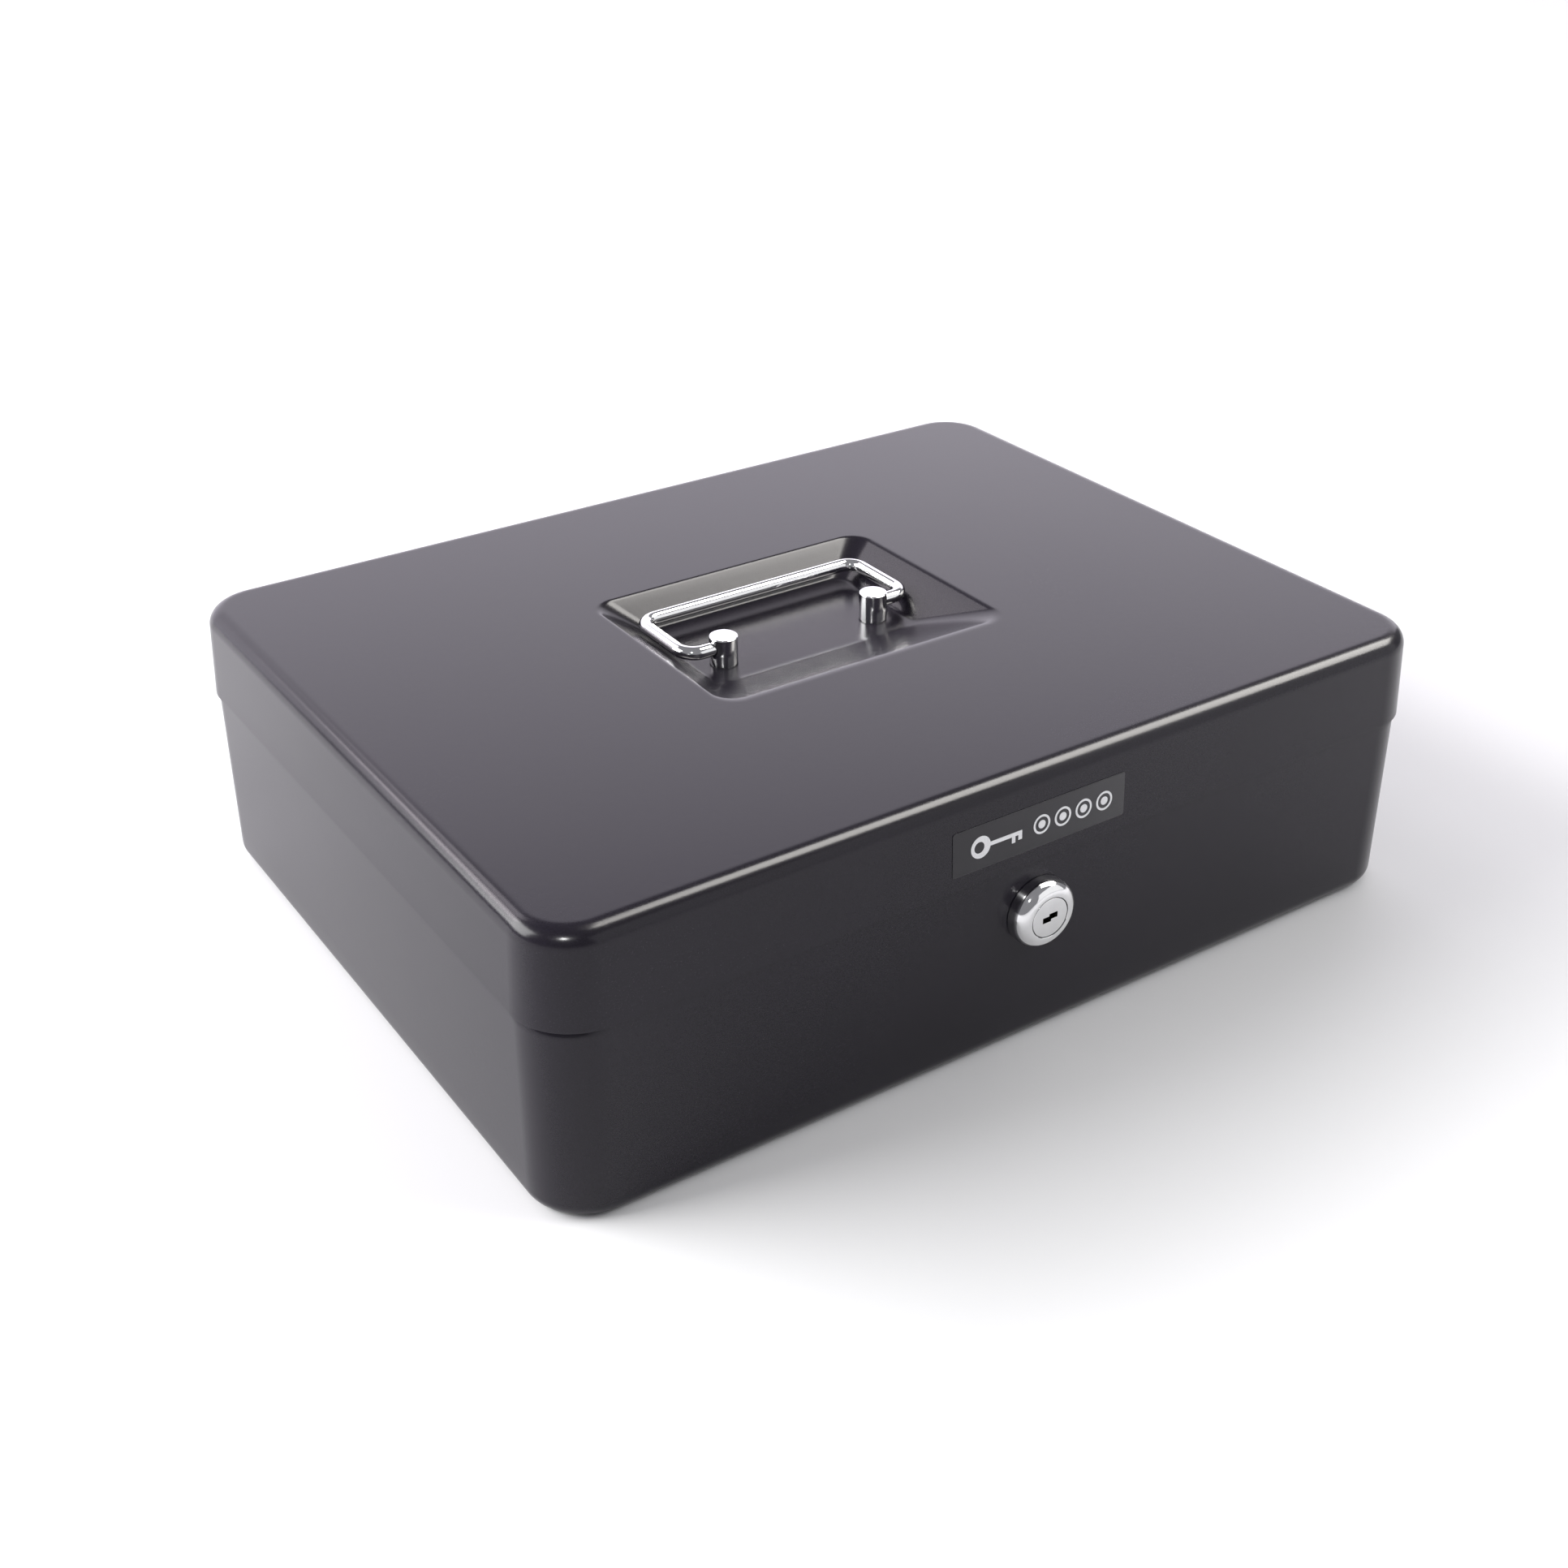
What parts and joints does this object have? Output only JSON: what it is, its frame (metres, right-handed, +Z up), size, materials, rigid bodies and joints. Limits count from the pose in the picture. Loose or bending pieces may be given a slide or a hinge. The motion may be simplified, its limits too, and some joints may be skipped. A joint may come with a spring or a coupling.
{
  "type": "cash box",
  "caption": "Black steel cash box with hinged lid, folding wire bail in a recess, front cam lock with catch, and a removable coin tray.",
  "frame": {"origin": "centre of the tub's underside", "axes": "+X to the right seen from the front, -Y to the front where the lock is, +Z up"},
  "size_m": [0.305, 0.2445, 0.088],
  "materials": {
    "black_paint": "satin",
    "chrome": "polished",
    "zinc_plate": "zinc plated",
    "brass": "plain",
    "label_foil": "printed foil",
    "tray_plastic": "moulded"
  },
  "bodies": {
    "base": {"base_tub": "black_paint", "tray_ledge_left": "zinc_plate", "tray_ledge_right": "zinc_plate", "hinge_leaf_tub_left": "black_paint", "hinge_leaf_tub_right": "black_paint", "hinge_pin_left": "zinc_plate", "hinge_pin_right": "zinc_plate", "hinge_rivet_tub_left_a": "zinc_plate", "hinge_rivet_tub_left_b": "zinc_plate", "hinge_rivet_tub_right_a": "zinc_plate", "hinge_rivet_tub_right_b": "zinc_plate", "lock_housing": "chrome", "lock_washer": "zinc_plate", "lock_nut": "zinc_plate"},
    "lid": {"lid_shell": "black_paint", "front_label": "label_foil", "lid_catch": "zinc_plate", "hinge_leaf_lid_left": "black_paint", "hinge_leaf_lid_right": "black_paint", "hinge_rivet_lid_left_a": "zinc_plate", "hinge_rivet_lid_left_b": "zinc_plate", "hinge_rivet_lid_right_a": "zinc_plate", "hinge_rivet_lid_right_b": "zinc_plate", "handle_post_left": "chrome", "handle_post_right": "chrome", "post_washer_left": "zinc_plate", "post_washer_right": "zinc_plate", "post_screw_left": "zinc_plate", "post_screw_right": "zinc_plate"},
    "bail": {"bail_handle": "chrome"},
    "plug": {"lock_plug": "chrome", "lock_wafer_1": "brass", "lock_wafer_2": "brass", "lock_wafer_3": "brass", "lock_wafer_4": "brass", "lock_cam": "zinc_plate", "cam_washer": "zinc_plate", "cam_screw": "zinc_plate"},
    "tray": {"coin_tray": "tray_plastic"}
  },
  "joints": [
    {"name": "lid_hinge", "type": "hinge", "parent": "base", "child": "lid", "pos_m": [0, 0.11985, 0.0602], "axis": [-1, 0, 0], "range_deg": [0, 105]},
    {"name": "handle_swing", "type": "hinge", "parent": "lid", "child": "bail", "pos_m": [0, 0, 0.0844], "axis": [1, 0, 0], "range_deg": [0, 170]},
    {"name": "lock_turn", "type": "hinge", "parent": "base", "child": "plug", "pos_m": [0, -0.1165, 0.0437], "axis": [0, 1, 0], "range_deg": [0, 90]},
    {"name": "tray_lift", "type": "slide", "parent": "base", "child": "tray", "axis": [0, 0, 1], "range_m": [0, 0.014]}
  ]
}
